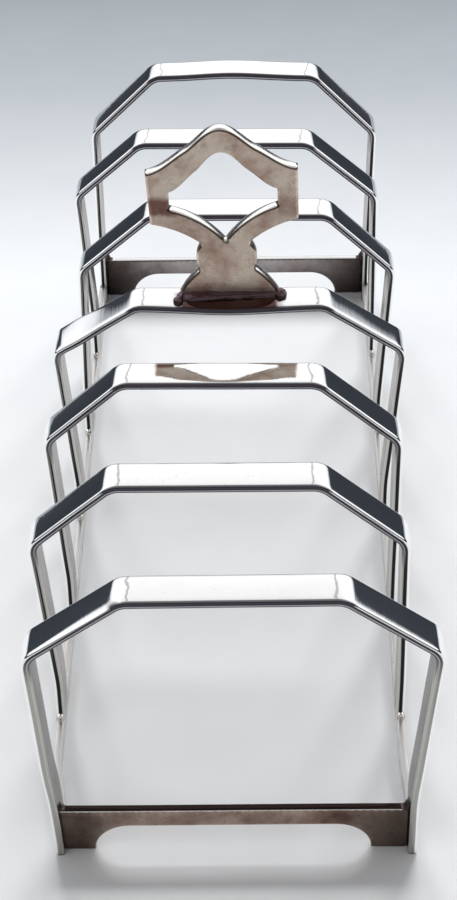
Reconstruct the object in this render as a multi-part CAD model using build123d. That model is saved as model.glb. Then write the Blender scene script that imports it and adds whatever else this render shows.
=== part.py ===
from build123d import *
import math
import os

# A toast rack of silver-plated flat wire. Seven hoops stand in a row along Y, between two
# arched end plates and on two low side rails, with a pierced handle on the middle hoop.
# Millimetres. +Z is up, and the origin is on the table under the middle of the rack.

# Row of hoops
hoop_count = 7
hoop_pitch = 28.0
strip_width = 6.5
strip_thickness = 1.5
strip_arris = 0.45            # rounding of the strip's long edges
bend_radius = 3.0             # at the middle of the strip's thickness, on the four top bends
foot_bend_radius = 60.0       # the very slight bend where a leg leaves the vertical

# Sizes over the outside of a hoop
base_half_width = 31.25
top_half_width = 17.75

# Base
plate_height = 9.5
plate_thickness = 1.5
plate_setback = 1.5           # from the outer hoop's face to the plate's face
plate_arch_height = 5.7
plate_arch_half_span = 23.5
arch_corner_length = 6.0      # the arch corners are quarter ellipses, this long
rail_top = 5.0
rail_bottom = 1.6             # the rails hang between the end legs, clear of the table
rail_thickness = strip_thickness
front_shift = 0.6             # the front hoop and plate sit this much towards +X

# Solder
plate_solder_size = 3.5
leg_solder_size = 1.5
handle_solder_size = 1.8
solder_bow = 0.35             # the hollow face passes this share of the size from the corner

# Handle
handle_thickness = 2.4
handle_front_y = 0.85
handle_height = 35.0
handle_half_width = 13.8
handle_foot_half_width = 9.3
handle_lean_degrees = 2.3     # towards -X

# The hoops were bent by hand, and each differs a little from the next. Back to front:
# middle of the top and middle of the shoulders along X, half width over the shoulders,
# top height, shoulder height.
hoop_shapes = [
    (0.5, 0.35, 31.5, 59.0, 45.0),
    (-1.5, -1.2, 32.0, 58.25, 45.5),
    (1.75, 1.2, 31.75, 58.25, 45.25),
    (0.25, -0.1, 33.75, 55.75, 45.25),
    (-1.5, -1.05, 32.25, 58.5, 45.5),
    (-1.75, -1.5, 32.25, 58.5, 45.75),
    (0.5, 0.5, 33.75, 57.75, 45.75),
]

row_half_length = hoop_pitch * (hoop_count - 1) / 2
leg_inner_half_width = base_half_width - strip_thickness
foot_height = plate_height + plate_solder_size
middle_top_height = hoop_shapes[hoop_count // 2][3]
foot_allowance = handle_foot_half_width * math.sin(math.radians(handle_lean_degrees))

os.makedirs("parts", exist_ok=True)


def hoop_y(index):
    """Middle of a hoop's strip along the row. Index 0 is the back hoop."""
    return row_half_length - index * hoop_pitch


def plate_y(index):
    """Middle of an end plate's thickness along the row."""
    side = 1 if index == 0 else -1
    return hoop_y(index) + side * (strip_width / 2 - plate_setback - plate_thickness / 2)


def end_shift(index):
    """How far a hoop, with its end plate if it has one, sits to one side."""
    return front_shift if index == hoop_count - 1 else 0


def mitred(outer, index, distance):
    """The corner of a line that runs inside the outer corners, at the given distance."""
    before = (outer[index] - outer[index - 1]).normalized()
    after = (outer[index + 1] - outer[index]).normalized()
    inward_before = Vector(before.Z, 0, -before.X)
    inward_after = Vector(after.Z, 0, -after.X)
    share = distance / (1 + inward_before.dot(inward_after))
    return outer[index] + (inward_before + inward_after) * share


def hoop(index):
    """One hoop: a single strip, bent on edge corners into a canted arch."""
    top_x, shoulder_x, shoulder_half, top_height, shoulder_height = hoop_shapes[index]
    is_end = index in (0, hoop_count - 1)
    leg_end = 0 if is_end else rail_top
    outer = [
        Vector(-base_half_width, 0, leg_end),
        Vector(-base_half_width, 0, foot_height),
        Vector(shoulder_x - shoulder_half, 0, shoulder_height),
        Vector(top_x - top_half_width, 0, top_height),
        Vector(top_x + top_half_width, 0, top_height),
        Vector(shoulder_x + shoulder_half, 0, shoulder_height),
        Vector(base_half_width, 0, foot_height),
        Vector(base_half_width, 0, leg_end),
    ]
    half = strip_thickness / 2
    corners = [mitred(outer, i, half) for i in range(1, len(outer) - 1)]
    route = [outer[0] + Vector(half, 0, 0)] + corners + [outer[-1] - Vector(half, 0, 0)]
    radii = [foot_bend_radius] + [bend_radius] * 4 + [foot_bend_radius]
    path = FilletPolyline(*route, radius=radii)
    section = Plane(route[0], x_dir=(1, 0, 0), z_dir=(0, 0, 1)) * RectangleRounded(
        strip_thickness, strip_width, strip_arris
    )
    return Pos(end_shift(index), hoop_y(index), 0) * sweep(section, path=path)


def end_plate(index):
    """Arched plate between the legs of an end hoop, set back from the hoop's outer face."""
    straight_half = plate_arch_half_span - arch_corner_length
    on_table = (Align.CENTER, Align.MIN)
    corner = Ellipse(arch_corner_length, plate_arch_height)
    arch = Rectangle(2 * straight_half, plate_arch_height, align=on_table)
    arch += Pos(straight_half, 0) * corner + Pos(-straight_half, 0) * corner
    outline = Rectangle(2 * leg_inner_half_width, plate_height, align=on_table) - arch
    plate = extrude(Plane.XZ * outline, plate_thickness / 2, both=True)
    return Pos(end_shift(index), plate_y(index), 0) * plate


def side_rail(side):
    """Low straight rail under the legs of the inner hoops, on one side (-1 or 1)."""
    length = 2 * row_half_length - strip_width
    section = RectangleRounded(rail_thickness, rail_top - rail_bottom, strip_arris)
    rail = extrude(Plane.XZ * section, length / 2, both=True)
    middle_x = side * (base_half_width - rail_thickness / 2)
    return Pos(middle_x, 0, (rail_top + rail_bottom) / 2) * rail


def solder_fillet(size, length):
    """Hollow fillet along Y, in the corner between a floor and a wall that faces +X."""
    corner = (0, 0)
    top = (0, size)
    toe = (size, 0)
    outline = make_face([
        Line(toe, corner),
        Line(corner, top),
        ThreePointArc(top, (solder_bow * size, solder_bow * size), toe),
    ])
    return extrude(Plane.XZ * outline, length / 2, both=True)


def plate_solder(index):
    """The two fillets that rise from an end plate's top edge against the hoop's legs."""
    fillet = solder_fillet(plate_solder_size, plate_thickness)
    left = Pos(-leg_inner_half_width, 0, 0) * fillet
    right = Pos(leg_inner_half_width, 0, 0) * Rot(0, 0, 180) * fillet
    corner = Pos(end_shift(index), plate_y(index), plate_height)
    return [corner * left, corner * right]


def leg_solder(side):
    """Fillets before and behind each inner leg, on top of one side rail."""
    fillet = solder_fillet(leg_solder_size, rail_thickness)
    middle = side * (base_half_width - rail_thickness / 2)
    beads = []
    for index in range(1, hoop_count - 1):
        front = hoop_y(index) - strip_width / 2
        back = hoop_y(index) + strip_width / 2
        beads.append(Pos(middle, front, rail_top) * Rot(0, 0, -90) * fillet)
        beads.append(Pos(middle, back, rail_top) * Rot(0, 0, 90) * fillet)
    return beads


def handle_outline():
    """Pierced handle: a flared foot, a waisted neck and an open head with an ogee roof."""
    waist = (5.0, 5.5)
    neck_top = (4.5, 11.0)
    shoulder_under = (13.6, 15.6)
    eave = (handle_half_width, 26.4)
    foot = (handle_foot_half_width, 0)
    foot_below = (handle_foot_half_width, -foot_allowance)
    axis_below = (0, -foot_allowance)
    right_side = [
        Line(axis_below, foot_below),
        Line(foot_below, foot),
        ThreePointArc(foot, (7.4, 3.0), waist),
        ThreePointArc(waist, (5.6, 8.4), neck_top),
        ThreePointArc(neck_top, (8.6, 13.8), shoulder_under),
        Line(shoulder_under, eave),
        Spline(eave, (6.6, 30.6), (0, handle_height), tangents=[(-1, 0.15), (-1, 0)]),
        Line((0, handle_height), axis_below),
    ]
    solid_half = make_face(right_side)
    sill = (9.9, 18.7)
    lintel = (9.9, 22.1)
    point = (0, 11.5)
    crown = (0, 30.0)
    opening_half = make_face([
        ThreePointArc(point, (5.2, 16.5), sill),
        Line(sill, lintel),
        Spline(lintel, (4.8, 26.2), crown, tangents=[(-1, 0.3), (-1, 0)]),
        Line(crown, point),
    ])
    half = solid_half - opening_half
    return half + mirror(half, about=Plane.YZ)


def handle():
    """The handle stands on the middle hoop's top, near its back edge, leaning slightly."""
    middle = handle_front_y + handle_thickness / 2
    plate = extrude(Plane.XZ * handle_outline(), handle_thickness / 2, both=True)
    leaning = Pos(0, middle, 0) * Rot(0, -handle_lean_degrees, 0) * plate
    filed_off = Pos(0, middle, 0) * Box(
        4 * handle_foot_half_width, 2 * handle_thickness, 4 * foot_allowance,
        align=(Align.CENTER, Align.CENTER, Align.MAX)
    )
    return Pos(0, 0, middle_top_height) * (leaning - filed_off)


def handle_solder():
    """Fillet of solder along the front of the handle's foot, on the middle hoop."""
    fillet = solder_fillet(handle_solder_size, 2 * handle_foot_half_width)
    return Pos(0, handle_front_y, middle_top_height) * Rot(0, 0, -90) * fillet


def save(node, shape):
    export_step(shape, f"parts/{node}.step")


for number in range(hoop_count):
    save(f"hoop_{number + 1}", hoop(number))
save("back_end_plate", end_plate(0))
save("front_end_plate", end_plate(hoop_count - 1))
save("left_side_rail", side_rail(-1))
save("right_side_rail", side_rail(1))
save("handle", handle())
save("handle_solder", handle_solder())
save("back_plate_solder", Compound(plate_solder(0)))
save("front_plate_solder", Compound(plate_solder(hoop_count - 1)))
save("left_leg_solder", Compound(leg_solder(-1)))
save("right_leg_solder", Compound(leg_solder(1)))
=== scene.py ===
import math
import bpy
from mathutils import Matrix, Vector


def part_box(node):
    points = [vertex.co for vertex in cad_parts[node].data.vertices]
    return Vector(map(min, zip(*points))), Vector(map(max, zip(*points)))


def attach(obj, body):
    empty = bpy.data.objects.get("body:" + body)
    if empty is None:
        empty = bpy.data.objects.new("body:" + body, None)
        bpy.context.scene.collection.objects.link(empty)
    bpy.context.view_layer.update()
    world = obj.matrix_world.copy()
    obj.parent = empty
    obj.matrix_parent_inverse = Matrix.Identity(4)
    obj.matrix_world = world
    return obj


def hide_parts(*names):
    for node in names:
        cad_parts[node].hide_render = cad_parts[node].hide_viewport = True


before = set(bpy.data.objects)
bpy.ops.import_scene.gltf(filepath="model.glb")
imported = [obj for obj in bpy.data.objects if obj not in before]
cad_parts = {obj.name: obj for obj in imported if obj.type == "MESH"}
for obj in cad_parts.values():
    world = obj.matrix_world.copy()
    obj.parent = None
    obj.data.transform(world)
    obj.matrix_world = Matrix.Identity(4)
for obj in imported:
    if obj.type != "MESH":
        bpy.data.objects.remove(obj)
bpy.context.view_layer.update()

from types import SimpleNamespace

import bpy
import numpy as np
from mathutils import Matrix, Vector, geometry, noise

MM = 0.001
ROOT = "root"

# ---------------------------------------------------------------- sizes
STRIP_THICKNESS = 1.5 * MM
STRIP_ARRIS = 0.45 * MM
STRIP_CROWN = 0.05 * MM         # the wide faces are this much fuller in the middle
TOP_HALF_WIDTH = 17.75 * MM
TOP_BEND_RADIUS = 4.0 * MM
SHOULDER_BEND_RADIUS = 3.4 * MM
FOOT_BEND_RADIUS = 60 * MM
FOOT_HEIGHT = 13 * MM
FRONT_SHIFT = 0.6 * MM          # the front hoop sits this much to the right
FRONT_FOOT_SLANT = 0.9 * MM     # and its left foot leans in this much more
STEP = 0.6 * MM                 # between the sections of a strip
WAVE_HEIGHT = 0.035 * MM        # the unevenness of the polished surface
WAVE_LENGTH = 9 * MM
SKIN = 0.06 * MM                # the finished surface lies this much inside the drawn one

# Back to front, in mm and degrees: middle of the top, middle, half width and height of the
# shoulders, twist seen from above, and how far the hoop stands off its even place.
HOOPS = [
    dict(top=0.5, middle=0.35, half=31.5, shoulder=45.0, twist=-0.5, along=-0.28),
    dict(top=-1.5, middle=-1.2, half=32.0, shoulder=45.5, twist=-0.7, along=0.0),
    dict(top=1.75, middle=1.2, half=31.75, shoulder=45.25, twist=-0.7, along=0.0),
    dict(top=0.25, middle=-0.1, half=33.75, shoulder=45.25, twist=-0.2, along=0.2),
    dict(top=-1.5, middle=-1.05, half=32.25, shoulder=45.5, twist=-0.5, along=0.0),
    dict(top=-1.75, middle=-1.5, half=32.25, shoulder=45.75, twist=0.1, along=-0.4),
    dict(top=0.5, middle=0.5, half=33.75, shoulder=45.75, twist=0.6, along=0.38),
]
BACK_HOOP, HANDLE_HOOP, FRONT_HOOP = 0, 3, 6


def smoothstep(value, low, high):
    t = min(1.0, max(0.0, (value - low) / (high - low)))
    return t * t * (3 - 2 * t)


def bell(value, width):
    return math.exp(-((value / width) ** 2))


def middle(node):
    low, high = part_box(node)
    return (Vector(low) + Vector(high)) / 2


# ---------------------------------------------------------------- materials
class Nodes:
    """Short ways to add nodes to a node tree. An input is a socket or a plain value."""

    def __init__(self, tree):
        self.tree = tree

    def add(self, kind, inputs=(), **settings):
        node = self.tree.nodes.new(kind)
        for key, value in settings.items():
            setattr(node, key, value)
        for key, value in dict(inputs).items():
            self.feed(value, node.inputs[key])
        return node

    def feed(self, value, socket):
        if isinstance(value, bpy.types.NodeSocket):
            self.tree.links.new(value, socket)
        elif socket.type == "RGBA":
            socket.default_value = (*value, 1)
        else:
            socket.default_value = value

    def maths(self, operation, first, second=0.0):
        return self.add("ShaderNodeMath", {0: first, 1: second}, operation=operation).outputs[0]

    def plus(self, first, second):
        return self.maths("ADD", first, second)

    def times(self, first, *others):
        for other in others:
            first = self.maths("MULTIPLY", first, other)
        return first

    def size_of(self, value):
        return self.maths("ABSOLUTE", value)

    def split(self, vector):
        return self.add("ShaderNodeSeparateXYZ", {"Vector": vector}).outputs

    def noise(self, where, scale, detail, **inputs):
        settings = {"Vector": where, "Scale": scale, "Detail": detail, **inputs}
        return self.add("ShaderNodeTexNoise", settings).outputs["Fac"]

    def ramp(self, value, stops):
        """A colour ramp from 0 to 1: stops are (position, grey or colour)."""
        node = self.add("ShaderNodeValToRGB", {"Fac": value})
        elements = node.color_ramp.elements
        while len(elements) < len(stops):
            elements.new(0.5)
        for element, (position, colour) in zip(elements, stops):
            element.position = position
            if isinstance(colour, (int, float)):
                colour = (colour, colour, colour)
            element.color = (*colour, 1)
        return node.outputs["Color"]

    def profile(self, value, reach, stops):
        """A ramp for a value that runs from 0 to reach, with its stops in the value's unit."""
        share = self.maths("DIVIDE", value, reach)
        return self.ramp(share, [(place / reach, colour) for place, colour in stops])

    def spread(self, value, source, target):
        """A value moved from one range to another, and kept in it."""
        return self.add("ShaderNodeMapRange", {
            "Value": value, "From Min": source[0], "From Max": source[1],
            "To Min": target[0], "To Max": target[1],
        }).outputs["Result"]

    def blend(self, amount, first, second, **settings):
        """A mix of two colours."""
        node = self.add("ShaderNodeMix", {"Factor": amount}, data_type="RGBA", **settings)
        self.feed(first, node.inputs["A"])
        self.feed(second, node.inputs["B"])
        return node.outputs["Result"]

    def clouds(self, where, scale, low, high):
        return self.ramp(self.noise(where, scale, 5.0, Roughness=0.62), [(low, 0), (high, 1)])


def shader(name):
    """A new material, its nodes and its Principled shader."""
    material = bpy.data.materials.new(name)
    material.use_nodes = True
    tree = material.node_tree
    return material, Nodes(tree), tree.nodes["Principled BSDF"].inputs


def finish_silver(nodes, principled, colour, tarnish, roughness, relief):
    """Colour, uneven roughness and fine relief shared by every silver surface."""
    where = nodes.add("ShaderNodeTexCoord").outputs["Object"]
    nodes.feed(colour, principled["Base Color"])
    wear = nodes.noise(where, 260.0, 6.0, Roughness=0.65)
    worn = nodes.spread(wear, (0.3, 0.75), (roughness * 0.6, roughness * 1.6))
    nodes.feed(nodes.plus(worn, nodes.times(tarnish, 0.2)), principled["Roughness"])
    stretched = nodes.add("ShaderNodeMapping", {"Vector": where, "Scale": (500.0, 60.0, 500.0)})
    rubbed = nodes.noise(stretched.outputs["Vector"], 3.0, 4.0)
    height = nodes.plus(rubbed, wear)
    bump = nodes.add("ShaderNodeBump", {"Height": height, "Strength": relief, "Distance": 0.2 * MM})
    nodes.feed(bump.outputs["Normal"], principled["Normal"])
    principled["Metallic"].default_value = 1.0


def handle_reflection_mask(nodes, where, x, y, z):
    """Painted reflection of the handle's foot and its solder: a dark brown patch on the top of
    the hoop under it, in front of the foot.
    """
    ragged = nodes.times(nodes.clouds(where, 500.0, 0.3, 0.7), 1 * MM)
    sideways = nodes.plus(nodes.size_of(x), ragged)
    near_foot = nodes.profile(sideways, 20 * MM, [(9.2 * MM, 1), (11 * MM, 0)])
    before_foot = nodes.profile(nodes.plus(y, 10 * MM), 20 * MM, [(11.2 * MM, 1), (12 * MM, 0)])
    on_top = nodes.profile(z, 100 * MM, [(53 * MM, 0), (54.5 * MM, 1)])
    return nodes.times(near_foot, before_foot, on_top)


def front_edge(nodes, u, x, z, leg_edge, grey_side):
    """Colour of a strip's front edge, painted reflections: over the top a painted dark band
    above a pale line of painted highlight, and on the legs a plain dark or pale edge of painted
    reflection with a painted highlight on the inner arris."""
    outer_half = nodes.profile(u, 4, [(3.42, 0), (3.52, 1)])
    # painted reflections over the top: a dark band, a pale highlight line, then dark again
    over_top = nodes.profile(u, 4, [
        (3.056, (0.035, 0.033, 0.040)), (3.112, (0.46, 0.45, 0.48)), (3.30, (0.46, 0.45, 0.48)),
        (3.40, (0.035, 0.033, 0.042)), (3.68, (0.060, 0.055, 0.068)), (3.92, (0.075, 0.070, 0.085)),
    ])
    outward = nodes.plus(nodes.times(x, grey_side), 50 * MM)
    one_side = nodes.profile(outward, 100 * MM, [(45 * MM, 0), (55 * MM, 1)])
    not_low = nodes.profile(z, 100 * MM, [(16 * MM, 0), (36 * MM, 1)])
    # painted grey reflection on the outer half of the legs' front edges, on one side only
    grey_leg_reflection = nodes.times(one_side, not_low, outer_half, 0.8)
    leg = nodes.blend(grey_leg_reflection, leg_edge, (0.27, 0.265, 0.255))
    # painted highlight along the inner arris of the legs
    inner_arris_highlight = nodes.profile(u, 4, [(3.056, 1), (3.112, 0)])
    leg = nodes.blend(inner_arris_highlight, leg, (0.60, 0.59, 0.56))
    on_leg = nodes.profile(z, 100 * MM, [(40 * MM, 1), (46 * MM, 0)])
    return nodes.blend(on_leg, over_top, leg)


def strip_silver(name, leg_edge, grey_side=-1, inner_face=(0.30, 0.27, 0.255), handle_reflection_strength=0.0):
    """Polished strip. The U of its map runs round the section: outer face 0 to 1, back edge
    to 2, inner face to 3, front edge to 4. V is the distance in from the end of the flat top,
    in mm. leg_edge is the front edge's colour on the legs, a painted reflection, with a painted
    grey reflection on the outside of the legs on grey_side, left (-1) or right (1). The last
    argument is the strength of the painted reflection of the handle's foot on the hoop's top."""
    material, nodes, principled = shader(name)
    place = nodes.add("ShaderNodeTexCoord").outputs
    where = place["Object"]
    x, y, z = nodes.split(where)
    u, v, _ = nodes.split(place["UV"])

    clouded = nodes.clouds(where, 120.0, 0.45, 0.7)
    speck = nodes.clouds(where, 900.0, 0.60, 0.70)
    face = nodes.blend(nodes.times(clouded, 0.06), (0.95, 0.95, 0.95), (0.50, 0.47, 0.44))
    face = nodes.blend(nodes.times(speck, 0.10), face, (0.30, 0.29, 0.28))
    # painted reflection of the handle's foot, darkening the hoop's top in front of it
    reflected_handle = nodes.times(handle_reflection_mask(nodes, where, x, y, z), handle_reflection_strength)
    face = nodes.blend(reflected_handle, face, (0.085, 0.045, 0.04))
    inner = nodes.blend(clouded, inner_face, tuple(c * 0.5 for c in inner_face))
    edge = front_edge(nodes, u, x, z, leg_edge, grey_side)

    on_inner = nodes.profile(u, 4, [(2.0, 0), (2.06, 1), (2.94, 1), (2.98, 0)])
    below_arris = nodes.profile(u, 4, [(2.94, 0), (2.968, 1), (3.82, 1), (3.90, 0)])
    up_to_face = nodes.profile(u, 4, [(3.80, 0), (3.82, 1), (3.94, 1), (3.988, 0)])
    within_top = nodes.ramp(nodes.plus(v, 3.5), [(0.0, 0), (1.0, 1)])
    on_front = nodes.maths("MAXIMUM", below_arris, nodes.times(up_to_face, within_top))
    on_back = nodes.profile(u, 4, [(0.90, 0), (0.98, 1), (1.96, 1), (2.0, 0)])
    colour = nodes.blend(on_inner, face, inner)
    colour = nodes.blend(on_front, colour, edge)
    # painted dark reflection along the back edge and its outer arris
    colour = nodes.blend(nodes.times(on_back, 0.6), colour, (0.12, 0.12, 0.13))

    # painted dark reflection in a ragged band across the outer face where the flat top bends
    wander = nodes.times(nodes.maths("SUBTRACT", nodes.noise(where, 260.0, 2.0), 0.5), 2.4)
    bend_reflection = nodes.ramp(nodes.size_of(nodes.plus(v, wander)), [(0.08, 1), (0.26, 0)])
    on_outer = nodes.profile(u, 4, [(0.94, 1), (1.0, 0)])
    colour = nodes.blend(nodes.times(bend_reflection, on_outer, 0.55), colour, (0.16, 0.17, 0.20))
    tarnish = nodes.maths("MAXIMUM", on_inner, on_front)
    finish_silver(nodes, principled, colour, tarnish, 0.05, 0.03)
    return material


def scorch_band(nodes, where, x, z):
    """A band across the handle's two upright sides, stronger on the left."""
    ragged = nodes.times(nodes.clouds(where, 300.0, 0.3, 0.7), 0.6 * MM)
    height = nodes.plus(z, ragged)
    band = nodes.profile(height, 100 * MM, [
        (72.7 * MM, 0), (73.5 * MM, 1), (76.2 * MM, 1), (77.5 * MM, 0),
    ])
    upright = nodes.profile(nodes.size_of(x), 20 * MM, [(8 * MM, 0), (10 * MM, 1)])
    sided = nodes.profile(nodes.plus(x, 50 * MM), 100 * MM, [(45 * MM, 1), (55 * MM, 0.45)])
    return nodes.times(band, upright, sided)


def plate_silver(name, clean, stained, up_reflection, arris, roughness, relief, darker_ends=0.0, scorch=0.0):
    """Tarnished flat metal, stained in clouds. The colour given for what faces up is a painted
    reflection, and arris is that of the edge between, a painted highlight or painted dark
    reflection. darker_ends is how much darker a plate is at its ends, and scorch the strength
    of the handle's red-brown band."""
    material, nodes, principled = shader(name)
    place = nodes.add("ShaderNodeTexCoord").outputs
    where = place["Object"]
    x, _, z = nodes.split(where)
    face = nodes.blend(nodes.clouds(where, 110.0, 0.42, 0.68), clean, stained)
    patches = nodes.times(nodes.clouds(where, 380.0, 0.55, 0.72), 0.35)
    face = nodes.blend(patches, face, tuple(c * 0.4 for c in stained))
    at_ends = nodes.profile(nodes.size_of(x), 32 * MM, [(14.4 * MM, 0), (30.4 * MM, 1)])
    face = nodes.blend(nodes.times(at_ends, darker_ends), face, (0.04, 0.027, 0.025))
    if scorch:
        scorched = nodes.times(scorch_band(nodes, where, x, z), scorch)
        face = nodes.blend(scorched, face, (0.17, 0.07, 0.055))
    upward = nodes.split(place["Normal"])["Z"]
    # painted reflection on the faces that look up, and a painted highlight or painted dark reflection on
    # the edges between
    facing_up = nodes.ramp(upward, [(0.55, 0), (0.72, 1)])
    on_arris = nodes.ramp(upward, [(0.15, 0), (0.28, 1), (0.55, 1), (0.7, 0)])
    colour = nodes.blend(facing_up, face, up_reflection)
    colour = nodes.blend(nodes.times(on_arris, 0.85), colour, arris)
    dull = nodes.times(nodes.maths("SUBTRACT", 1.0, facing_up), 0.5)
    finish_silver(nodes, principled, colour, dull, roughness, relief)
    return material


# the dark front edge of the legs is a painted dark reflection
DARK_EDGE_REFLECTION = (0.03, 0.03, 0.033)
HOOP_SILVER = strip_silver("hoop_silver", DARK_EDGE_REFLECTION)
# the hoop under the handle carries the painted reflection of the handle's foot
HANDLE_HOOP_SILVER = strip_silver("handle_hoop_silver", DARK_EDGE_REFLECTION, handle_reflection_strength=1.0)
# the front hoop's pale leg edge is a painted reflection
FRONT_HOOP_SILVER = strip_silver("front_hoop_silver", (0.42, 0.42, 0.39), 1, (0.12, 0.105, 0.095))
# painted edge colours: a bright painted highlight and a painted dark reflection. In each plate material
# below, the colour after the two face colours is the painted reflection on what faces up, and the next is
# the painted arris line
ARRIS_HIGHLIGHT, DARK_ARRIS_REFLECTION = (0.93, 0.90, 0.87), (0.06, 0.045, 0.045)
BASE_SILVER = plate_silver(
    "base_silver", (0.48, 0.37, 0.31), (0.20, 0.12, 0.09), (0.035, 0.022, 0.022), ARRIS_HIGHLIGHT,
    0.16, 0.06, 0.85,
)
BACK_PLATE_SILVER = plate_silver(
    "back_plate_silver", (0.36, 0.33, 0.32), (0.20, 0.16, 0.15), (0.75, 0.74, 0.74), DARK_ARRIS_REFLECTION,
    0.14, 0.05, 1.0,
)
RAIL_SILVER = plate_silver(
    "rail_silver", (0.74, 0.73, 0.72), (0.60, 0.58, 0.56), (0.76, 0.75, 0.74), ARRIS_HIGHLIGHT, 0.35, 0.06
)
HANDLE_SILVER = plate_silver(
    "handle_silver", (0.68, 0.58, 0.49), (0.34, 0.20, 0.15), (0.97, 0.95, 0.92), DARK_ARRIS_REFLECTION, 0.20, 0.12,
    scorch=0.9,
)
SOLDER_SILVER = plate_silver(
    "solder_silver", (0.12, 0.07, 0.07), (0.05, 0.03, 0.03), (0.15, 0.10, 0.12), DARK_ARRIS_REFLECTION, 0.18, 0.25
)
FILLET_SILVER = plate_silver(
    "fillet_silver", (0.10, 0.075, 0.07), (0.05, 0.035, 0.03), (0.12, 0.095, 0.09), DARK_ARRIS_REFLECTION, 0.25, 0.15
)
BEAD_SILVER = plate_silver(
    "bead_silver", (0.60, 0.57, 0.54), (0.34, 0.30, 0.27), (0.96, 0.95, 0.93), (0.62, 0.60, 0.57),
    0.12, 0.10,
)


# ---------------------------------------------------------------- meshes
def new_piece(name, verts, faces, material, replaced=()):
    """A smooth-shaded mesh piece that rides on the rack's one body."""
    mesh = bpy.data.meshes.new(name)
    mesh.from_pydata(verts, [], faces)
    mesh.validate()
    mesh.shade_smooth()
    mesh.materials.append(material)
    piece = bpy.data.objects.new(name, mesh)
    bpy.context.scene.collection.objects.link(piece)
    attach(piece, ROOT)
    if replaced:
        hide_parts(*replaced)
    return piece


def loft(rows, size):
    """Faces that join rows of vertices, each a closed ring of the same size, and shut both
    ends."""
    faces = []
    for row in range(rows - 1):
        for j in range(size):
            a, b = row * size + j, row * size + (j + 1) % size
            faces.append((a, a + size, b + size, b))
    faces.append(tuple(range(size)))
    faces.append(tuple(reversed(range((rows - 1) * size, rows * size))))
    return faces


# ---------------------------------------------------------------- hoops
HANDLE_HOOP_TIP = math.radians(5)       # beside the handle its top tips down in front
HANDLE_HOOP_REACH = 0.4 * MM            # and its front edge is this much further forward
LEFT_SHOULDER_TIP = math.radians(7)     # its left shoulder tips too, about its middle
BACK_HOOP_BOW = 0.7 * MM                # the back hoop's top rises this much in the middle
FRONT_SHOULDER_EASE = 1.5 * MM          # more rounding of the front hoop's left shoulder


def turned(vector, angle):
    """A vector in X and Z, turned anticlockwise."""
    c, s = math.cos(angle), math.sin(angle)
    return Vector((c * vector.x - s * vector.y, s * vector.x + c * vector.y))


def straight(start, end):
    """Points and headings every STEP along a straight run, without its end."""
    heading = (end - start).normalized()
    count = max(1, math.ceil((end - start).length / STEP))
    return [(start.lerp(end, i / count), heading) for i in range(count)]


def rounded_route(corners, radii):
    """Points and headings along a route in X and Z, its corners turned as arcs."""
    samples = []
    start = corners[0]
    for before, corner, after, radius in zip(corners, corners[1:], corners[2:], radii):
        come = (corner - before).normalized()
        go = (after - corner).normalized()
        turn = math.atan2(come.x * go.y - come.y * go.x, come.dot(go))
        tangent = radius * math.tan(abs(turn) / 2)
        arc_start = corner - come * tangent
        samples += straight(start, arc_start)
        left = Vector((-come.y, come.x)) * math.copysign(1, turn)
        centre = arc_start + left * radius
        count = max(1, math.ceil(radius * abs(turn) / STEP * 2))
        for i in range(count):
            angle = turn * i / count
            samples.append((centre + turned(arc_start - centre, angle), turned(come, angle)))
        start = corner + go * tangent
    samples += straight(start, corners[-1])
    samples.append((corners[-1], (corners[-1] - start).normalized()))
    return samples


def inset_corners(outer, distance):
    """The corners of a route that runs inside another, for a route that turns clockwise."""
    inner = []
    for before, corner, after in zip(outer, outer[1:], outer[2:]):
        come = (corner - before).normalized()
        go = (after - corner).normalized()
        first = Vector((come.y, -come.x))
        second = Vector((go.y, -go.x))
        inner.append(corner + (first + second) * (distance / (1 + first.dot(second))))
    return inner


def hoop_outline(index):
    """The outer corners of a hoop, from its left foot over the top to its right foot."""
    shape = HOOPS[index]
    low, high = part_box(f"hoop_{index + 1}")
    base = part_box("right_side_rail")[1][0]
    shoulder_x = shape["middle"] * MM
    half = shape["half"] * MM
    shoulder_z = shape["shoulder"] * MM
    top_x = shape["top"] * MM
    return [
        Vector((-base, low[2])),
        Vector((-base, FOOT_HEIGHT)),
        Vector((shoulder_x - half, shoulder_z)),
        Vector((top_x - TOP_HALF_WIDTH, high[2])),
        Vector((top_x + TOP_HALF_WIDTH, high[2])),
        Vector((shoulder_x + half, shoulder_z)),
        Vector((base, FOOT_HEIGHT)),
        Vector((base, low[2])),
    ]


def hoop_route(index):
    """Points and headings along the middle of a hoop's strip, from foot to foot."""
    outer = hoop_outline(index)
    half = Vector((STRIP_THICKNESS / 2, 0))
    route = [outer[0] + half] + inset_corners(outer, STRIP_THICKNESS / 2) + [outer[-1] - half]
    radii = [FOOT_BEND_RADIUS, SHOULDER_BEND_RADIUS, TOP_BEND_RADIUS]
    return rounded_route(route, radii + radii[::-1])


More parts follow.
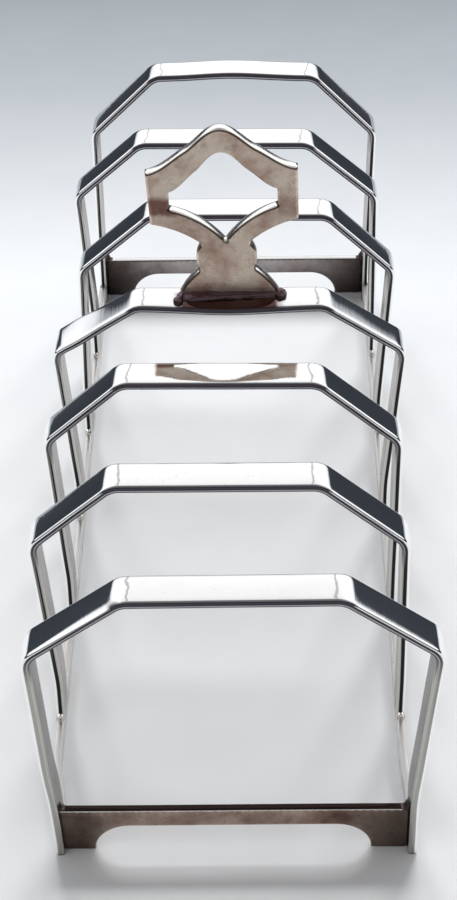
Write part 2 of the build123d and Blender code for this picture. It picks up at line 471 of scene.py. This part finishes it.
def section(front, back, roll_over):
    """Points round a strip's section as (across, out, u): across runs from front to back,
    u numbers the four sides. roll_over is how far the front arris eases over the face."""
    half = STRIP_THICKNESS / 2
    arris = STRIP_ARRIS
    wide_steps, arc_steps = 8, 6
    points = []

    def face(start, end, out, crown, u):
        for i in range(wide_steps + 1):
            share = i / wide_steps
            lift = crown * (1 - (2 * share - 1) ** 2)
            points.append((start + (end - start) * share, out + lift, u + 0.05 + 0.9 * share))

    def corner(across, out, wide, first_angle, u):
        for i in range(1, arc_steps):
            share = i / arc_steps
            angle = first_angle - math.pi / 2 * share
            points.append((
                across + wide * math.cos(angle), out + arris * math.sin(angle), u - 0.05 + 0.1 * share,
            ))

    face(front + roll_over, back - arris, half, STRIP_CROWN, 0)
    corner(back - arris, half - arris, arris, math.pi / 2, 1)
    points.append((back, half - arris, 1.05))
    points.append((back, -half + arris, 1.95))
    corner(back - arris, -half + arris, arris, 0, 2)
    face(back - arris, front + arris, -half, -STRIP_CROWN, 2)
    corner(front + arris, -half + arris, arris, -math.pi / 2, 3)
    points.append((front, -half + arris, 3.1))
    points.append((front, 0.0, 3.5))
    points.append((front, half - arris, 3.85))
    corner(front + roll_over, half - arris, roll_over, math.pi, 3.95)
    return points


def hand_bending(index, point, out):
    """How a hoop's section strays from the plain route at a point. It moves out by lift and
    sideways by slant, and tips by tip, about its back edge where hinge is 1 and its middle
    where hinge is 0. Its front edge comes forward by reach, its front arris rounds by ease."""
    bent = SimpleNamespace(lift=0.0, slant=0.0, tip=0.0, hinge=1.0, reach=0.0, ease=0.0)
    on_top = smoothstep(out.y, 0.9, 0.999)
    slopes_up = smoothstep(out.y, 0.5, 0.75)
    if index == HANDLE_HOOP:
        near_handle = bell(point.x, 11 * MM) * on_top
        bent.tip = HANDLE_HOOP_TIP * near_handle
        bent.reach = HANDLE_HOOP_REACH * near_handle
        on_left_shoulder = smoothstep(-out.x, 0.3, 0.6) * slopes_up
        if on_left_shoulder > 0:
            bent.tip = LEFT_SHOULDER_TIP * on_left_shoulder * bell(point.x + 29 * MM, 4.5 * MM)
            bent.hinge = 0.0
    if index == BACK_HOOP:
        bent.lift = BACK_HOOP_BOW * bell(point.x, 10 * MM) * on_top
    if index == FRONT_HOOP:
        on_left_shoulder = smoothstep(-out.x, 0.2, 0.5) * slopes_up
        toward_top = smoothstep(point.x, -33 * MM, -19 * MM)
        bent.ease = FRONT_SHOULDER_EASE * on_left_shoulder * toward_top
        bent.slant = FRONT_FOOT_SLANT * smoothstep(-point.x, 20 * MM, 29 * MM)
        bent.slant *= 1 - smoothstep(point.y, 0, 22 * MM)
    return bent


def map_strip(mesh, places, size):
    """A strip's map, from each vertex's place round its section and in from the bends of its
    top. The faces that close the ring run up to 4, where the next ones start at 0."""
    layer = mesh.uv_layers.new(name="strip")
    for polygon in mesh.polygons:
        closes = len(polygon.vertices) == 4 and any(v % size == size - 1 for v in polygon.vertices)
        for corner, v in zip(polygon.loop_indices, polygon.vertices):
            u, from_bend = places[v]
            if closes and v % size == 0:
                u = 4.0
            layer.data[corner].uv = (u, from_bend)


def hoop(index):
    """One hoop, swept as a rounded strip, with the small unevenness of hand bending."""
    shape = HOOPS[index]
    node = f"hoop_{index + 1}"
    centre = middle(node)
    low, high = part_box(node)
    half_width = (high[1] - low[1]) / 2
    shift = FRONT_SHIFT if index == FRONT_HOOP else 0
    samples = hoop_route(index)
    lengths = [0.0]
    for (point, _), (following, _) in zip(samples, samples[1:]):
        lengths.append(lengths[-1] + (following - point).length)
    level_part = [length for length, (_, heading) in zip(lengths, samples) if heading.x > 0.9999]
    twist = math.tan(math.radians(shape["twist"]))
    verts, places = [], []
    for travelled, (point, heading) in zip(lengths, samples):
        out = Vector((-heading.y, heading.x))
        bent = hand_bending(index, point, out)
        hinge = bent.hinge * half_width
        raised = smoothstep(point.y, FOOT_HEIGHT, shape["shoulder"] * MM)
        from_bend = min(travelled - level_part[0], level_part[-1] - travelled) / MM
        ring = section(-half_width - bent.reach, half_width, STRIP_ARRIS + bent.ease)
        for across, outward, u in ring:
            wave = noise.noise(Vector((travelled / WAVE_LENGTH, across / WAVE_LENGTH * 1.3, index * 7.3)))
            level = outward + bent.lift + WAVE_HEIGHT * wave - SKIN
            level += (across - hinge) * math.tan(bent.tip)
            x = point.x + out.x * level + bent.slant
            y = centre.y + across + (x * twist + shape["along"] * MM) * raised
            z = point.y + out.y * level
            verts.append((x + shift, y, max(z, low[2])))
            places.append((u, from_bend))
    size = len(verts) // len(samples)
    material = {FRONT_HOOP: FRONT_HOOP_SILVER, HANDLE_HOOP: HANDLE_HOOP_SILVER}.get(index, HOOP_SILVER)
    piece = new_piece(f"{node}_strip", verts, loft(len(samples), size), material, [node])
    map_strip(piece.data, places, size)


# ---------------------------------------------------------------- outlines of flat plates, in mm
def arc_through(first, via, last, count=16):
    """Points on the circle through three points, without the last one."""
    (ax, ay), (bx, by), (cx, cy) = first, via, last
    d = 2 * (ax * (by - cy) + bx * (cy - ay) + cx * (ay - by))
    a2, b2, c2 = ax * ax + ay * ay, bx * bx + by * by, cx * cx + cy * cy
    ox = (a2 * (by - cy) + b2 * (cy - ay) + c2 * (ay - by)) / d
    oy = (a2 * (cx - bx) + b2 * (ax - cx) + c2 * (bx - ax)) / d
    radius = math.hypot(ax - ox, ay - oy)
    start = math.atan2(ay - oy, ax - ox)
    full = 2 * math.pi
    to_via = (math.atan2(by - oy, bx - ox) - start) % full
    to_last = (math.atan2(cy - oy, cx - ox) - start) % full
    if to_via > to_last:
        to_last -= full
    angles = [start + to_last * i / count for i in range(count)]
    return [(ox + radius * math.cos(a), oy + radius * math.sin(a)) for a in angles]


def smooth_curve(points, slopes, count=14):
    """A curve through points with the given end directions, without the last point."""
    knots = [Vector(p) for p in points]
    chords = [(b - a).length for a, b in zip(knots, knots[1:])]
    heads = [Vector(slopes[0]).normalized()]
    for a, b in zip(knots, knots[2:]):
        heads.append((b - a).normalized())
    heads.append(Vector(slopes[1]).normalized())
    result = []
    for i, chord in enumerate(chords):
        p0, p3 = knots[i], knots[i + 1]
        p1, p2 = p0 + heads[i] * chord / 3, p3 - heads[i + 1] * chord / 3
        for k in range(count):
            t = k / count
            u = 1 - t
            point = p0 * u**3 + p1 * 3 * u * u * t + p2 * 3 * u * t * t + p3 * t**3
            result.append((point.x, point.y))
    return result


def line(first, last, count):
    """Points along a straight line, without the last one."""
    return [
        (first[0] + (last[0] - first[0]) * i / count, first[1] + (last[1] - first[1]) * i / count)
        for i in range(count)
    ]


# ---------------------------------------------------------------- flat plates, in mm
RIM_ROWS = (0.12, 0.3, 0.55, 0.8, 1.0)  # how far in rows of points follow a rounded rim
ROW_ROOM = 0.93         # a row keeps a point if no rim is nearer than this share of its depth
GRID_ROOM = 1.25        # the grid over the flat keeps this many roundings away from a rim
SLIVER = 1e-5           # in mm², smaller triangles lie on a straight part of the outline


def edge_distance(points, loops):
    """How far each point is from the nearest outline, and whether it is inside them all."""
    points = np.asarray(points)
    nearest = np.full(len(points), np.inf)
    inside = np.zeros(len(points), dtype=bool)
    for loop in loops:
        a = np.asarray(loop)
        b = np.roll(a, -1, axis=0)
        step = b - a
        rel = points[:, None, :] - a[None, :, :]
        share = (rel * step).sum(2) / (step * step).sum(1)
        share = np.clip(share, 0, 1)
        gap = rel - share[:, :, None] * step[None, :, :]
        nearest = np.minimum(nearest, np.sqrt((gap * gap).sum(2)).min(1))
        crosses = (a[None, :, 1] > points[:, 1:2]) != (b[None, :, 1] > points[:, 1:2])
        rise = np.where(step[:, 1] == 0, 1e-12, step[:, 1])
        cut = a[None, :, 0] + (points[:, 1:2] - a[None, :, 1]) * step[None, :, 0] / rise[None, :]
        inside ^= (np.count_nonzero(crosses & (points[:, 0:1] < cut), axis=1) % 2).astype(bool)
    return nearest, inside


def well_inside(points, loops, room):
    """The points that are inside an outline and further than room from its rims."""
    gap, inside = edge_distance(points, loops)
    return [tuple(p) for p, g, i in zip(points, gap, inside) if i and g > room]


def inner_points(loops, rounding, grid):
    """Points that follow an outline's rounded rims in rows, and a staggered grid between."""
    kept = []
    for loop in loops:
        rim = np.asarray(loop)
        along = np.roll(rim, -1, axis=0) - np.roll(rim, 1, axis=0)
        inward = np.stack([-along[:, 1], along[:, 0]], axis=1)
        inward /= np.linalg.norm(inward, axis=1)[:, None]
        for share in RIM_ROWS:
            row = rim + inward * rounding * share
            kept += well_inside(row, loops, rounding * share * ROW_ROOM)
    low, high = np.min(loops[0], axis=0), np.max(loops[0], axis=0)
    xs = np.arange(low[0] + grid / 2, high[0], grid)
    ys = np.arange(low[1] + grid / 2, high[1], grid)
    staggered = np.array([(x + (j % 2) * grid / 2, y) for j, y in enumerate(ys) for x in xs])
    return kept + well_inside(staggered, loops, rounding * GRID_ROOM)


def triangulate(loops, extra):
    """Points and triangles that fill an outline and use the extra points inside it."""
    corners, edges = [], []
    for loop in loops:
        first, count = len(corners), len(loop)
        edges += [(first + i, first + (i + 1) % count) for i in range(count)]
        corners += loop
    coords = [Vector(p) for p in corners + extra]
    flat, _, triangles, _, _, _ = geometry.delaunay_2d_cdt(coords, edges, [], 0, 1e-6)
    middles = [tuple(sum((flat[i] for i in t), Vector((0, 0))) / 3) for t in triangles]
    _, inside = edge_distance(middles, loops)
    areas = [geometry.area_tri(*(flat[i] for i in t)) for t in triangles]
    return flat, [t for t, within, area in zip(triangles, inside, areas) if within and area > SLIVER]


def plate(name, loops, thickness, rounding, grid, place, material, replaced):
    """A flat plate with the outline and holes of loops, in mm, and rounded rims.

    place turns (x, y, z) in mm, with y through the plate, into a place on the rack."""
    flat, triangles = triangulate(loops, inner_points(loops, rounding, grid))
    gap, _ = edge_distance([tuple(p) for p in flat], loops)
    verts = []
    for side in (-1, 1):
        for p, g in zip(flat, gap):
            missing = rounding - min(g, rounding)
            depth = thickness / 2 - rounding + math.sqrt(max(0.0, rounding**2 - missing**2))
            verts.append(place(p.x, side * depth, p.y))
    count = len(flat)
    faces = [tuple(t) for t in triangles]
    faces += [tuple(count + i for i in reversed(t)) for t in triangles]
    sides = {(t[i], t[(i + 1) % 3]) for t in triangles for i in range(3)}
    for a, b in sorted(sides):
        if (b, a) not in sides:
            faces.append((b, a, count + a, count + b))
    new_piece(name, verts, faces, material, replaced)


ARCH_HALF_SPAN = 23.5
ARCH_HEIGHT = 5.7
ARCH_CORNER = 6.0       # the length of the quarter ellipse at each end of the arch
PLATE_ROUNDING, PLATE_GRID = 0.28, 1.4
PLATE_BOW, BOW_LENGTH = 0.12, 17.0


def end_plate(node):
    """The arched plate under an end hoop, very slightly bowed."""
    low, high = (Vector(c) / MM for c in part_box(node))
    half = (high.x - low.x) / 2
    straight_half = ARCH_HALF_SPAN - ARCH_CORNER
    outline = line((-half, high.z), (-half, 0), 16)
    outline += line((-half, 0), (-ARCH_HALF_SPAN, 0), 8)
    steps = 16
    for i in range(steps):
        angle = math.pi / 2 * i / steps
        outline.append((-straight_half - ARCH_CORNER * math.cos(angle), ARCH_HEIGHT * math.sin(angle)))
    outline += line((-straight_half, ARCH_HEIGHT), (straight_half, ARCH_HEIGHT), 50)
    for i in range(steps):
        angle = math.pi / 2 * (1 - i / steps)
        outline.append((straight_half + ARCH_CORNER * math.cos(angle), ARCH_HEIGHT * math.sin(angle)))
    outline += line((ARCH_HALF_SPAN, 0), (half, 0), 8)
    outline += line((half, 0), (half, high.z), 16)
    outline += line((half, high.z), (-half, high.z), 90)
    centre = (low + high) / 2

    def place(x, y, z):
        bow = PLATE_BOW * math.sin(x / BOW_LENGTH)
        return ((centre.x + x) * MM, (centre.y + y + bow) * MM, z * MM)

    plate(
        f"{node}_arch", [outline], high.y - low.y, PLATE_ROUNDING, PLATE_GRID, place,
        BACK_PLATE_SILVER if centre.y > 0 else BASE_SILVER, [node],
    )


HANDLE_LEAN = math.radians(2.3)
HANDLE_BURIED = 1.0     # the foot goes this far down into the hoop
HANDLE_ROUNDING, HANDLE_GRID = 0.6, 0.7
HANDLE_RIPPLE, RIPPLE_LENGTH = 0.05, 5


def handle_outline():
    """The handle's outer edge, anticlockwise: foot, waisted neck, body and ogee roof."""
    waist, neck_top = (5.0, 5.5), (4.5, 11.0)
    under, eave = (13.6, 15.6), (13.8, 26.4)
    foot, below = (9.3, 0.0), (9.3, -HANDLE_BURIED)
    crown = (0.0, 34.98)
    right = line((0, -HANDLE_BURIED), below, 18) + line(below, foot, 2)
    right += arc_through(foot, (7.4, 3.0), waist, 14)
    right += arc_through(waist, (5.6, 8.4), neck_top, 14)
    right += arc_through(neck_top, (8.6, 13.8), under, 20)
    right += line(under, eave, 20)
    right += smooth_curve([eave, (6.6, 30.6), crown], [(-1, 0.15), (-1, 0)], 18)
    return right + [crown] + [(-x, z) for x, z in reversed(right[1:])]


def handle_opening():
    """The edge of the hole through the handle, clockwise, with the same ogee roof."""
    sill, lintel, point, roof = (9.9, 18.7), (9.9, 22.1), (0.0, 11.5), (0.0, 30.0)
    right = arc_through(point, (5.2, 16.5), sill, 22) + line(sill, lintel, 7)
    right += smooth_curve([lintel, (4.8, 26.2), roof], [(-1, 0.3), (-1, 0)], 14)
    hole = right + [roof] + [(-x, z) for x, z in reversed(right[1:])]
    hole.reverse()
    return hole


def handle():
    """The pierced handle plate, with softly worn edges, leaning as the CAD one does."""
    low, high = (Vector(c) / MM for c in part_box("handle"))
    centre_y = (low.y + high.y) / 2

    def place(x, y, z):
        turned_x = x * math.cos(HANDLE_LEAN) - z * math.sin(HANDLE_LEAN)
        turned_z = x * math.sin(HANDLE_LEAN) + z * math.cos(HANDLE_LEAN)
        ripple = HANDLE_RIPPLE * noise.noise(Vector((x / RIPPLE_LENGTH, z / RIPPLE_LENGTH, 3.1)))
        return (turned_x * MM, (centre_y + y + ripple) * MM, (low.z + turned_z) * MM)

    plate(
        "handle_plate", [handle_outline(), handle_opening()], high.y - low.y,
        HANDLE_ROUNDING, HANDLE_GRID, place, HANDLE_SILVER, ["handle"],
    )


# ---------------------------------------------------------------- rails
RAIL_ROUNDING = 0.4 * MM


def rail(node):
    """A straight side rail with rounded edges, its front end drawn over to the front plate."""
    low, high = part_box(node)
    centre = middle(node)
    half_x, half_z = (high[0] - low[0]) / 2, (high[2] - low[2]) / 2
    ring = []
    for corner_x, corner_z, start in ((1, 1, 0), (-1, 1, 1), (-1, -1, 2), (1, -1, 3)):
        for i in range(6):
            angle = math.pi / 2 * (start + i / 5)
            ring.append((
                corner_x * (half_x - RAIL_ROUNDING) + RAIL_ROUNDING * math.cos(angle),
                corner_z * (half_z - RAIL_ROUNDING) + RAIL_ROUNDING * math.sin(angle),
            ))
    count = math.ceil((high[1] - low[1]) / STEP / 2)
    front_pull = FRONT_SHIFT + (FRONT_FOOT_SLANT if centre.x < 0 else 0)
    verts = []
    for k in range(count + 1):
        y = low[1] + (high[1] - low[1]) * k / count
        pull = front_pull * (1 - smoothstep(y, low[1], low[1] + 14 * MM))
        for x, z in ring:
            wave = noise.noise(Vector((y / WAVE_LENGTH / 2, x * 300, z * 300)))
            verts.append((centre.x + x + pull + WAVE_HEIGHT * wave, y, centre.z + z))
    faces = loft(count + 1, len(ring))
    new_piece(f"{node}_bar", verts, faces, RAIL_SILVER, [node])


# ---------------------------------------------------------------- solder
SOLDER_VOXEL = 0.13 * MM
BEAD_VOXEL = 0.14 * MM
LUMP_UNEVENNESS = 0.16
DROP_RADIUS = 0.95 * MM
# The chain of drops at each end of the handle's solder: its side, how far out and ahead of
# the first drop the last one is, and how much larger, as a share of DROP_RADIUS.
DROP_CHAINS = [(-1, 0.7 * MM, 2.2 * MM, 0.25), (1, 0.9 * MM, 0.2 * MM, 0.55)]


def lump(centre, radii, seed, rings=14, segments=20):
    """Vertices and faces of one uneven drop of solder."""
    verts, faces = [], []
    for i in range(1, rings):
        polar = math.pi * i / rings
        for j in range(segments):
            turn = 2 * math.pi * j / segments
            direction = Vector((
                math.sin(polar) * math.cos(turn), math.sin(polar) * math.sin(turn), math.cos(polar)
            ))
            swell = 1 + LUMP_UNEVENNESS * noise.noise(direction * 1.7 + Vector((seed, 0, 0)))
            verts.append(tuple(centre[k] + direction[k] * radii[k] * swell for k in range(3)))
    top, bottom = len(verts), len(verts) + 1
    verts.append((centre[0], centre[1], centre[2] + radii[2]))
    verts.append((centre[0], centre[1], centre[2] - radii[2]))
    for i in range(rings - 2):
        for j in range(segments):
            a, b = i * segments + j, i * segments + (j + 1) % segments
            faces.append((a, a + segments, b + segments, b))
    last = (rings - 2) * segments
    for j in range(segments):
        k = (j + 1) % segments
        faces.append((top, j, k))
        faces.append((bottom, last + k, last + j))
    return verts, faces


def wedge(corner, run, rise, width, steps=8):
    """A hollow fillet: run and rise are vectors from the corner, width spans its two ends."""
    profile = [corner + run]
    for i in range(1, steps):
        angle = math.pi / 2 * i / steps
        profile.append(corner + run * (1 - math.sin(angle)) + rise * (1 - math.cos(angle)))
    profile += [corner + rise, corner - (run + rise) * 0.25]
    verts = [tuple(p - width / 2) for p in profile] + [tuple(p + width / 2) for p in profile]
    size = len(profile)
    faces = [tuple(range(size)), tuple(reversed(range(size, 2 * size)))]
    for i in range(size):
        j = (i + 1) % size
        faces.append((j, i, size + i, size + j))
    return verts, faces


def solder(name, parts, voxel, material, replaced):
    """Drops and fillets melted into one skin."""
    verts, faces = [], []
    for part_verts, part_faces in parts:
        first = len(verts)
        verts += part_verts
        faces += [tuple(first + i for i in face) for face in part_faces]
    piece = new_piece(name, verts, faces, material, replaced)
    melt = piece.modifiers.new("melt", "REMESH")
    melt.mode = "VOXEL"
    melt.voxel_size = voxel
    settle = piece.modifiers.new("settle", "SMOOTH")
    settle.factor = 0.6
    settle.iterations = 6
    bpy.context.view_layer.update()
    melted = bpy.data.meshes.new_from_object(piece.evaluated_get(bpy.context.evaluated_depsgraph_get()))
    piece.modifiers.clear()
    piece.data = melted
    melted.shade_smooth()


def handle_solder():
    """Solder along the handle's foot: a fillet, a chain of drops at each end, and a ridge of
    five lumps that thins towards the right."""
    low, high = (Vector(c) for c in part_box("handle_solder"))
    size = high.z - low.z
    half = (high.x - low.x) / 2
    wall = high.y
    parts = [wedge(
        Vector((0, wall, low.z - 0.35 * MM)), Vector((0, -size * 0.8, 0)),
        Vector((0, 0, size * 0.7)), Vector((2 * half - 1.2 * MM, 0, 0)),
    )]
    for side, out, ahead, growth in DROP_CHAINS:
        for i in range(4):
            share = i / 3
            radius = DROP_RADIUS * (0.75 + growth * share)
            parts.append(lump(
                (side * (half - 0.5 * MM + out * share), wall - ahead * share, low.z - 0.15 * MM),
                (radius, radius * 1.25, radius), side * 2.0 + i,
            ))
    for i in range(5):
        share = i / 4 * 2 - 1
        parts.append(lump(
            (share * (half - 3 * MM), wall - 0.2 * MM, low.z - 0.3 * MM),
            (3.4 * MM, (1.9 - 0.28 * i) * MM, (0.75 + 0.1 * (i % 2)) * MM), i * 1.3,
        ))
    solder("handle_foot_solder", parts, SOLDER_VOXEL, SOLDER_SILVER, ["handle_solder"])


def plate_solder(node):
    """Solder that climbs from an end plate's top edge up the legs of its hoop."""
    low, high = (Vector(c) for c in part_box(node))
    size = high.z - low.z
    width = Vector((0, high.y - low.y, 0))
    y = (low.y + high.y) / 2
    parts = []
    for x, side in ((low.x, 1), (high.x, -1)):
        corner = Vector((x, y, low.z))
        run = Vector((side * size * 0.45, 0, 0))
        parts.append(wedge(corner, run, Vector((0, 0, size)), width * side))
        parts.append(lump(
            (x + side * 0.2 * MM, y, low.z + 0.4 * MM), (0.75 * MM, 0.8 * MM, 1.1 * MM), x * 50 + y
        ))
    solder(f"{node}_fillets", parts, SOLDER_VOXEL, FILLET_SILVER, [node])


def leg_solder(side_name):
    """Small bright drops of solder where the inner legs meet a side rail."""
    node = f"{side_name}_leg_solder"
    rail_low, rail_high = (Vector(c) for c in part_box(f"{side_name}_side_rail"))
    x = (rail_low.x + rail_high.x) / 2
    parts = []
    for number in range(2, len(HOOPS)):
        low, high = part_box(f"hoop_{number}")
        for y, face in ((low[1], -1), (high[1], 1)):
            parts.append(lump(
                (x, y + face * 0.25 * MM, rail_high.z + 0.1 * MM),
                (0.8 * MM, 1.0 * MM, 1.0 * MM), number + face * 0.4,
            ))
    solder(f"{node}_beads", parts, BEAD_VOXEL, BEAD_SILVER, [node])


for hoop_index in range(len(HOOPS)):
    hoop(hoop_index)
end_plate("back_end_plate")
end_plate("front_end_plate")
rail("left_side_rail")
rail("right_side_rail")
handle()
handle_solder()
plate_solder("back_plate_solder")
plate_solder("front_plate_solder")
leg_solder("left")
leg_solder("right")


# ---------------------------------------------------------------- floor, light and camera
FLOOR_RADIUS = 0.62     # in metres
CAMERA_PLACE = Vector((5.21, -325.21, 273.63)) * MM
CAMERA_PITCH = math.radians(38.02)
CAMERA_YAW = math.radians(-1.02)
CAMERA_ROLL = math.radians(1.0)
CAMERA_LENS = 83.6


def floor():
    """A plain pale table top with painted shade, a little darker in front of the rack, far darker behind
    it.
    """
    material, nodes, principled = shader("pale_floor")
    where = nodes.add("ShaderNodeTexCoord").outputs["Object"]
    grain = nodes.ramp(nodes.noise(where, 60.0, 6.0), [
        (0.3, (0.72, 0.73, 0.74)), (0.7, (0.745, 0.755, 0.765)),
    ])
    # painted shade: the light falling off a little in front of the rack and far more behind it
    shade = nodes.ramp(nodes.spread(nodes.split(where)["Y"], (-0.16, 0.30), (0.0, 1.0)), [
        (0.0, (0.90, 0.90, 0.90)), (0.14, (1.0, 1.0, 1.0)), (0.55, (0.96, 0.97, 0.98)),
        (0.65, (0.72, 0.74, 0.765)), (0.75, (0.49, 0.52, 0.55)), (0.90, (0.31, 0.34, 0.365)),
    ])
    nodes.feed(nodes.blend(1.0, grain, shade, blend_type="MULTIPLY"), principled["Base Color"])
    principled["Roughness"].default_value = 0.9
    segments = 96
    angles = [2 * math.pi * i / segments for i in range(segments)]
    rim = [(FLOOR_RADIUS * math.cos(a), FLOOR_RADIUS * math.sin(a), 0) for a in angles]
    mesh = bpy.data.meshes.new("floor")
    mesh.from_pydata(rim, [], [tuple(range(segments))])
    mesh.materials.append(material)
    table_top = bpy.data.objects.new("floor", mesh)
    bpy.context.scene.collection.objects.link(table_top)


def room():
    """A studio seen only in reflections: a dark horizon, a bright bank of light above it."""
    world = bpy.data.worlds.new("studio")
    world.use_nodes = True
    bpy.context.scene.world = world
    world.node_tree.nodes.clear()
    nodes = Nodes(world.node_tree)
    _, forward, upward = nodes.split(nodes.add("ShaderNodeTexCoord").outputs["Generated"])
    sky = nodes.ramp(nodes.spread(upward, (-1.0, 1.0), (0.0, 1.0)), [
        (0.0, (0.10, 0.10, 0.10)), (0.46, (0.05, 0.055, 0.065)), (0.50, (0.036, 0.042, 0.053)),
        (0.585, (0.044, 0.051, 0.062)), (0.615, (0.85, 0.88, 0.92)), (0.70, (1.35, 1.35, 1.35)),
        (0.88, (0.9, 0.9, 0.9)), (1.0, (0.22, 0.22, 0.24)),
    ])
    nearness = nodes.spread(forward, (-0.6, 0.2), (0.5, 1.0))
    colour = nodes.blend(1.0, sky, nearness, blend_type="MULTIPLY")
    ray = nodes.add("ShaderNodeLightPath").outputs
    strength = nodes.spread(ray["Is Diffuse Ray"], (0.0, 1.0), (1.0, 0.6))
    studio = nodes.add("ShaderNodeBackground", {"Color": colour, "Strength": strength})
    backdrop = nodes.add("ShaderNodeBackground", {"Color": (0.62, 0.64, 0.66), "Strength": 1.0})
    seen = nodes.add("ShaderNodeMixShader", {
        0: ray["Is Camera Ray"], 1: studio.outputs[0], 2: backdrop.outputs[0],
    })
    nodes.add("ShaderNodeOutputWorld", {"Surface": seen.outputs[0]})


def area_light(name, place, size, power):
    """A soft light aimed at the rack, and not seen in its reflections."""
    light = bpy.data.lights.new(name, "AREA")
    light.shape = "RECTANGLE"
    light.size, light.size_y = size
    light.energy = power
    lamp = bpy.data.objects.new(name, light)
    lamp.location = place
    lamp.visible_glossy = False
    lamp.rotation_euler = (-Vector(place)).to_track_quat("-Z", "Y").to_euler()
    bpy.context.scene.collection.objects.link(lamp)


def camera():
    """The camera looks down the row from above the front end."""
    pitch, yaw, roll = CAMERA_PITCH, CAMERA_YAW, CAMERA_ROLL
    ahead = Vector((math.sin(yaw) * math.cos(pitch), math.cos(yaw) * math.cos(pitch), -math.sin(pitch)))
    level = Vector((math.cos(yaw), -math.sin(yaw), 0))
    down = ahead.cross(level)
    right = level * math.cos(roll) + down * math.sin(roll)
    down = down * math.cos(roll) - level * math.sin(roll)
    data = bpy.data.cameras.new("camera")
    data.sensor_width = 36
    data.lens = CAMERA_LENS
    data.clip_start = 0.01
    eye = bpy.data.objects.new("camera", data)
    turn = Matrix((right, -down, -ahead)).transposed()
    eye.matrix_world = Matrix.Translation(CAMERA_PLACE) @ turn.to_4x4()
    bpy.context.scene.collection.objects.link(eye)
    bpy.context.scene.camera = eye


floor()
room()
area_light("window", (0.09, 1.53, 1.35), (1.26, 0.72), 55.0)
area_light("fill", (-0.6, -0.5, 0.9), (0.6, 0.6), 1.5)
camera()
bpy.context.scene.view_settings.view_transform = "Standard"
